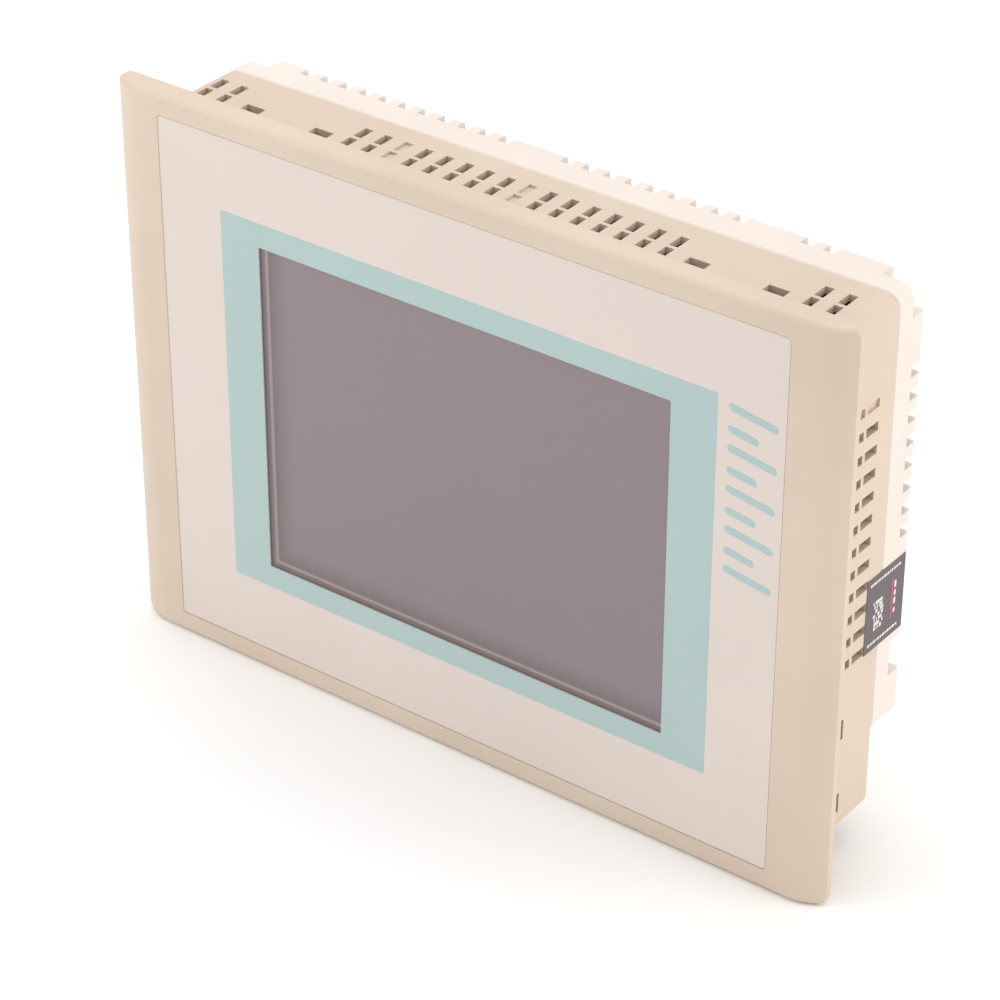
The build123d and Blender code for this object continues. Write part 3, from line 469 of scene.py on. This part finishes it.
paint(clearMaterial("floatGlass", glassLook), "touch_glass", "lcd_cell")
paint(clearMaterial("castAcrylic", acrylicLook), "light_guide")
paint(mouldedPlastic("mouldedNylonWhite", whitePlastic), "lcd_diffuser", "backlight_lamp", "fuse",
      "display_socket", "touch_socket", "inverter_feet", "lamp_plug", "dip_slider_1", "dip_slider_2",
      "dip_slider_3", "dip_slider_4")
# lcd_tray takes the near-black PBT as painted shade: its black stands in for the shade inside the housing
paint(mouldedPlastic("mouldedPbtBlack", blackPlastic), "buzzer", "serial_insert", "network_jack", "usb_tongue",
      "dip_socket", "lcd_tray")
paint(mouldedPlastic("mouldedPolyamideGreen", greenPlastic), "power_header")
paint(mouldedPlastic("mouldedPbtBlue", bluePlastic), "dip_body")
paint(mouldedPlastic("closedCellFoam", foam), "display_seal")
paint(mouldedPlastic("mouldedEpdmRubber", rubber), "panel_seal")
paint(mouldedPlastic("transferMouldedEpoxy", epoxy), "processor", "memory_chips", "logic_chips")
paint(mouldedPlastic("sinteredFerrite", ferrite), "power_coil", "inverter_transformer", "small_components")
paint(mouldedPlastic("polyimideFilm", amberFilm), "touch_tail", "display_cable")
paint(mouldedPlastic("siliconeSleeve", pinkSleeve), "lamp_lead")
# the carrier plate's dark grey is painted shade for the inside of the housing
paint(plainMetal("zincPlatedSheet", zincSheet), "carrier_plate", "earth_bracket")
paint(plainMetal("tinPlatedSteel", tinPlate), "lcd_frame", "lamp_reflector", "serial_shell", "serial_flange",
      "usb_shell", "power_pins", "serial_locks")
zincScrew = plainMetal("zincPlatedSteel", zincSteel)
paint(zincScrew, "cover_screws", "plate_screws", "board_screws", "earth_stud", "earth_washer", "earth_nut")
paint(plainMetal("nickelPlatedBrass", brassNickel), "board_standoffs")
paint(plainMetal("drawnAluminium", drawnAluminium), "capacitors")
paint(plainMetal("goldFlashedBronze", goldFlash), "network_contacts")
paint(solderMask(), "main_board", "inverter_board")
print("inner parts done")


studLow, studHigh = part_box("earth_stud")
# heights and radii in mm: thin threaded end, thick threaded part, head; points per pitch and round the stud
stud = {"tipZ": -60.0, "shoulderZ": -51.6, "headZ": -45.3, "topZ": -44.0, "thinR": 2.0, "thickR": 2.5, "headR": 4.0,
        "thinPitch": 0.7, "thickPitch": 0.8, "tipR": 1.2, "headBevel": 0.3, "threadDepth": 0.6,
        "perPitch": 10, "columns": 36}


def threadedStud():
    # radius(z, angle) = thread radius less a sharp V of 0.6 pitch depth that climbs one pitch in a turn,
    # drawn in to a cone at the tip; a plain round head closes the top
    s = stud
    lowRows = int((s["shoulderZ"] - s["tipZ"]) / s["thinPitch"] * s["perPitch"])
    highRows = int((s["headZ"] - s["shoulderZ"]) / s["thickPitch"] * s["perPitch"])
    low = np.linspace(s["tipZ"], s["shoulderZ"], lowRows)
    high = np.linspace(s["shoulderZ"], s["headZ"], highRows)
    turn = np.arange(s["columns"]) / s["columns"]

    def thread(z, radius, pitch):
        phase = (z[:, None] / pitch - turn[None, :]) % 1.0
        return radius - s["threadDepth"] * pitch * np.abs(2 * phase - 1)

    thin = thread(low, s["thinR"], s["thinPitch"])
    thin = np.minimum(thin, s["tipR"] + (low - s["tipZ"])[:, None])
    thick = thread(high, s["thickR"], s["thickPitch"])
    columns = s["columns"]
    head = np.array([s["headR"], s["headR"], s["headR"] - s["headBevel"]])[:, None] * np.ones(columns)
    radii = np.concatenate([thin, thick, head])
    heights = np.concatenate([low, high, [s["headZ"], s["topZ"] - s["headBevel"], s["topZ"]]])
    centreX = (studLow.x + studHigh.x) / 2 / mm
    centreY = (studLow.y + studHigh.y) / 2 / mm
    angle = 2 * np.pi * turn[None, :]
    rings = np.stack([centreX + radii * np.cos(angle), centreY + radii * np.sin(angle),
                      np.repeat(heights[:, None], columns, axis=1)], -1)
    verts = np.concatenate([rings.reshape(-1, 3), [(centreX, centreY, s["tipZ"]), (centreX, centreY, s["topZ"])]]) * mm
    tip = radii.size
    first = np.arange(columns)
    last = first + tip - columns
    fans = np.concatenate([np.column_stack([np.full(columns, tip), np.roll(first, -1), first]),
                           np.column_stack([np.full(columns, tip + 1), last, np.roll(last, -1)])])
    faces = gridFaces(len(heights), columns, True).tolist() + fans.tolist()
    piece = meshPiece("threaded_stud", verts, faces, zincScrew)
    outwards(piece)
    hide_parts("earth_stud")


threadedStud()
print("earth stud done")


plateLow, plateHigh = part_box("rating_plate")
# in mm: ink build-up and bite, rules, margin, and the strips' shortest, longest, gap and inset
plate = {"proud": 0.02, "bite": 0.01, "rows": 6, "line": 0.25, "margin": 3.0, "seed": 7, "shortest": 2.0,
         "longest": 9.0, "strips": 7, "gap": 1.6, "inset": 2.0}


def platePrint():
    # a ruled table with short filled strips in its rows, started from the end that is on the left seen from behind;
    # all without meaning
    p = plate
    rng = np.random.default_rng(p["seed"])
    x0, x1 = plateLow.x / mm + p["margin"], plateHigh.x / mm - p["margin"]
    z0, z1 = plateLow.z / mm + p["margin"], plateHigh.z / mm - p["margin"]
    marks = [rectangle(x0, z - p["line"] / 2, x1 - x0, p["line"]) for z in np.linspace(z0, z1, p["rows"] + 1)]
    step = (z1 - z0) / p["rows"]
    for row in range(p["rows"]):
        x = x1 - p["inset"]
        for width in rng.uniform(p["shortest"], p["longest"], p["strips"]):
            if x - width < x0 + p["inset"]:
                break
            marks.append(rectangle(x - width, z0 + step * row + step * 0.35, width, step * 0.3))
            x -= width + p["gap"]
    verts, faces = prismMesh(marks, plateHigh.y - p["bite"] * mm, plateHigh.y + p["proud"] * mm, (0, 2, 1))
    outwards(meshPiece("plate_marks", verts, faces, inkBlack))


def rectangle(u, v, width, height):
    # four corners in mm, anticlockwise
    return np.array([(u, v), (u + width, v), (u + width, v + height), (u, v + height)])


# cured printing ink on the plate: flat charcoal, thin enough to show no edge
blackInk = {"dark": "#2b2c2e", "light": "#343537", "patchMm": 10, "rough": 0.5, "grainMm": 0.3, "depthMm": 0.005}
# metallised polyester label stock: pale silver grey with a soft sheen
silverFoil = {"dark": "#c9c9c7", "light": "#d4d4d2", "patchMm": 30, "rough": 0.35, "grainMm": 0.5, "depthMm": 0.01}
inkBlack = mouldedPlastic("printInkBlack", blackInk)
platePrint()
print("rating plate done")


labelLow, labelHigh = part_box("side_label")
# in mm: ink build-up and bite, the dashes and their gap and inset, the code field's squares, the lone bars
label = {"proud": 0.02, "bite": 0.01, "seed": 4, "rowDashes": 16, "shortest": 0.35, "longest": 1.1, "dashGap": 0.3,
         "dashTall": 0.7, "inset": 1.4, "codeColumns": 9, "codeRows": 7, "codeU": 3.2, "codeV": 5.2, "stepU": 0.496,
         "stepV": 1.2, "squareU": 0.44, "squareV": 0.96, "bars": [(1.28, 6.0), (1.76, 8.4), (1.44, 10.8), (1.92, 13.0)],
         "barU": 12.2, "barWide": 0.8, "lineU": 11.0, "lineV": 4.8, "lineWide": 0.6}
# vinyl label stock, printed dark: grey-brown, smooth, a little glossier than the housing
labelPaper = {"dark": "#544a4c", "light": "#5c5153", "patchMm": 12, "rough": 0.4, "grainMm": 0.3, "depthMm": 0.01}
# opaque white ink: bright marks on the dark label
whiteInk = {"dark": "#e4dcdc", "light": "#efe8e8", "patchMm": 5, "rough": 0.5, "grainMm": 0.3, "depthMm": 0.005}
# magenta ink: the label's one coloured rule
magentaInk = {"dark": "#c43f78", "light": "#cf4a83", "patchMm": 5, "rough": 0.5, "grainMm": 0.3, "depthMm": 0.005}


def labelPrint():
    # rows of short dashes, a field of code squares, lone bars and one ruled line, all without meaning
    p = label
    rng = np.random.default_rng(p["seed"])
    y0, z0 = labelLow.y / mm, labelLow.z / mm
    wide = (labelHigh.y - labelLow.y) / mm
    tall = (labelHigh.z - labelLow.z) / mm
    marks = []
    for v in (z0 + 1.6, z0 + tall - 2.3):
        u = y0 + p["inset"]
        for length in rng.uniform(p["shortest"], p["longest"], p["rowDashes"]):
            if u + length > y0 + wide - p["inset"]:
                break
            marks.append(rectangle(u, v, length, p["dashTall"]))
            u += length + p["dashGap"]
    filled = rng.random((p["codeRows"], p["codeColumns"])) < 0.6
    for row, column in np.argwhere(filled):
        u = y0 + p["codeU"] + column * p["stepU"]
        marks.append(rectangle(u, z0 + p["codeV"] + row * p["stepV"], p["squareU"], p["squareV"]))
    marks += [rectangle(y0 + p["barU"], z0 + v, p["barWide"], length) for length, v in p["bars"]]
    low = labelHigh.x - p["bite"] * mm
    high = labelHigh.x + p["proud"] * mm
    verts, faces = prismMesh(marks, low, high, (2, 0, 1))
    outwards(meshPiece("label_marks", verts, faces, inkWhite))
    line = [rectangle(y0 + p["lineU"], z0 + p["lineV"], p["lineWide"], tall - 2 * p["lineV"])]
    verts, faces = prismMesh(line, low, high, (2, 0, 1))
    outwards(meshPiece("label_line", verts, faces, inkMagenta))


inkWhite = mouldedPlastic("printInkWhite", whiteInk)
inkMagenta = mouldedPlastic("printInkMagenta", magentaInk)
paint(mouldedPlastic("printedVinylDark", labelPaper), "side_label")
labelPrint()
paint(mouldedPlastic("printedFoilSilver", silverFoil), "rating_plate")
print("labels done")


# painted board, matt white: a seamless ground that only takes the shadow
floor = {"half": 3.0, "colour": "#ffffff", "under": 0.05, "rough": 0.9, "specular": 0.1}


def makeFloor():
    # a square a hair below the object
    material, _, shader, _ = newMaterial("paintedBoardWhite")
    shader.inputs["Base Color"].default_value = sRgb(floor["colour"])
    shader.inputs["Roughness"].default_value = floor["rough"]
    shader.inputs["Specular IOR Level"].default_value = floor["specular"]
    mesh = bpy.data.meshes.new("floor")
    h = floor["half"]
    z = cadBox[0].z - floor["under"] * mm
    mesh.from_pydata([(-h, -h, z), (h, -h, z), (h, h, z), (-h, h, z)], [], [(0, 1, 2, 3)])
    mesh.materials.append(material)
    piece = bpy.data.objects.new("floor", mesh)
    bpy.context.scene.collection.objects.link(piece)


# square lamps: name, position, aim, size (metres), watts, colour
lights = [
    ("overhead", (-0.15, 0.2, 1.5), (0, 0, 0), 1.6, 10.3, "#ffffff"),
    ("front", (-0.42, -0.46, 0.37), (-0.03, 0, 0), 0.4, 1.2, "#fff8f4"),
    ("right", (1.3, 0.5, 0.6), (0, 0, 0), 1.0, 7.4, "#fff6ee"),
]


world = {"colour": "#ffffff", "strength": 0.7}


def makeLights():
    # each lamp stands at its position and faces its aim; an even white surround fills the shadows
    for name, position, aim, size, watts, colour in lights:
        data = bpy.data.lights.new(name, "AREA")
        data.shape = "SQUARE"
        data.size = size
        data.energy = watts
        data.color = sRgb(colour)[:3]
        lamp = bpy.data.objects.new(name, data)
        lamp.location = position
        lamp.rotation_euler = (Vector(aim) - Vector(position)).to_track_quat("-Z", "Y").to_euler()
        bpy.context.scene.collection.objects.link(lamp)
    surround = bpy.data.worlds.new("studio")
    surround.use_nodes = True
    background = surround.node_tree.nodes["Background"]
    background.inputs["Color"].default_value = sRgb(world["colour"])
    background.inputs["Strength"].default_value = world["strength"]
    bpy.context.scene.world = surround
    bpy.context.scene.view_settings.view_transform = "Standard"


# degrees; position in mm; focal length in sensor widths
camera = {"azimuth": 36.93, "elevation": 32.07, "roll": 0.09, "position": (443.92, -579.72, 451.46), "focal": 3.58436,
          "sensor": 36.0, "near": 0.05, "far": 20}


def makeCamera():
    # looks along the line at the stated azimuth (from -y towards +x) and elevation, then rolls about it
    data = bpy.data.cameras.new("camera")
    data.sensor_width = camera["sensor"]
    data.lens = camera["focal"] * data.sensor_width
    data.clip_start = camera["near"]
    data.clip_end = camera["far"]
    eye = bpy.data.objects.new("camera", data)
    a = math.radians(camera["azimuth"])
    e = math.radians(camera["elevation"])
    back = Vector((math.sin(a) * math.cos(e), -math.cos(a) * math.cos(e), math.sin(e)))
    turn = (-back).to_track_quat("-Z", "Y").to_matrix()
    roll = Matrix.Rotation(math.radians(camera["roll"]), 3, "Z")
    eye.matrix_world = Matrix.Translation(Vector(camera["position"]) * mm) @ (turn @ roll).to_4x4()
    bpy.context.scene.collection.objects.link(eye)
    bpy.context.scene.camera = eye


makeFloor()
makeLights()
makeCamera()
print("floor, lights and camera done")
